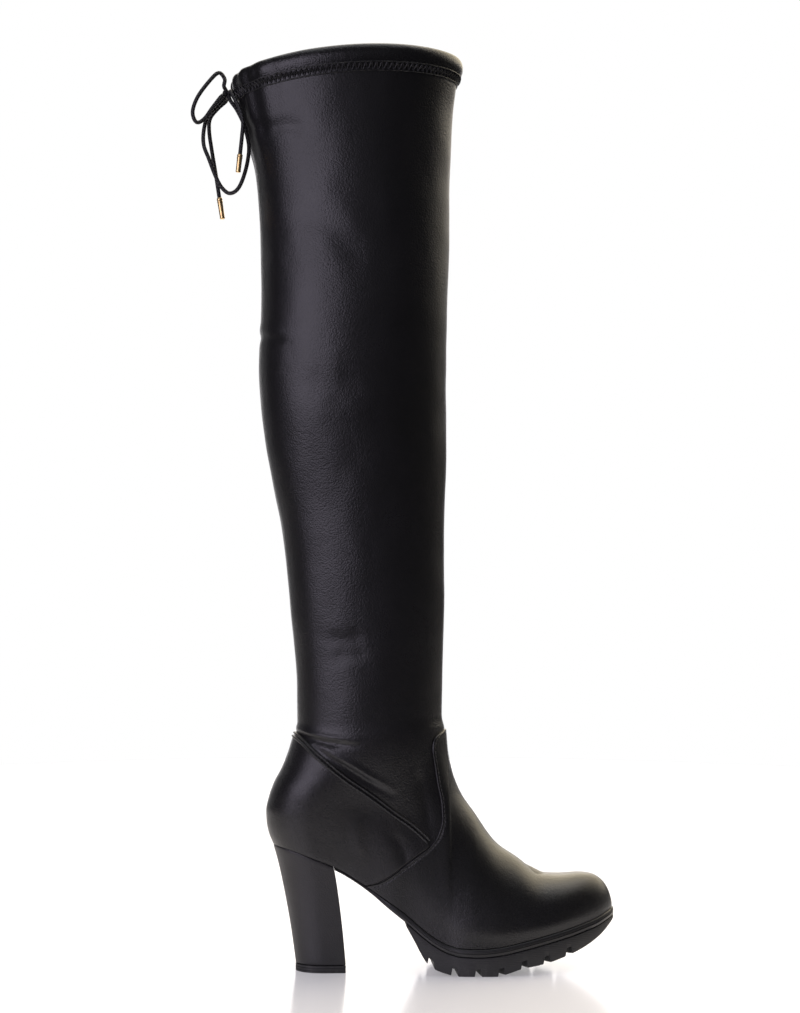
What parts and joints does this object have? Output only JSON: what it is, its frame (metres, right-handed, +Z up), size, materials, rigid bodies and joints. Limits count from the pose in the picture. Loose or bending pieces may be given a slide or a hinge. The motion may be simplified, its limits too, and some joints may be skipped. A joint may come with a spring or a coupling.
{
  "type": "thigh high boot",
  "caption": "Tall slip-on thigh high boot with a hollow shaft, drawstring bow at the back of the collar, covered block heel and lugged platform sole.",
  "frame": {"origin": "on the floor under the middle of the boot's bounding box without its cord", "axes": "+Z up along the shaft, +X towards the toe, -Y towards the outer side of the right foot"},
  "size_m": [0.2964, 0.1118, 0.6362],
  "materials": {
    "shaft_leather": "smooth, soft sheen",
    "vamp_leather": "smooth, soft sheen",
    "quarter_leather": "smooth, soft sheen",
    "seam_leather": "smooth, stitched",
    "casing_leather": "smooth, folded edge",
    "insole_cloth": "matt",
    "midsole_rubber": "smooth satin",
    "outsole_rubber": "matt moulded",
    "heel_cover": "smooth, soft sheen",
    "top_piece_rubber": "matt",
    "black_cord": "waxed round cord",
    "gold_metal": "polished, pale gold"
  },
  "bodies": {
    "root": {"upper": "shaft_leather", "vamp": "vamp_leather", "heel_quarter": "quarter_leather", "ankle_seam": "seam_leather", "collar_casing": "casing_leather", "insole": "insole_cloth", "midsole": "midsole_rubber", "outsole": "outsole_rubber", "heel": "heel_cover", "heel_top_piece": "top_piece_rubber", "cord_knot": "black_cord", "cord_loop_a": "black_cord", "cord_loop_b": "black_cord", "cord_tail_a": "black_cord", "cord_tail_b": "black_cord", "cord_tip_a": "gold_metal", "cord_tip_b": "gold_metal"}
  },
  "joints": []
}
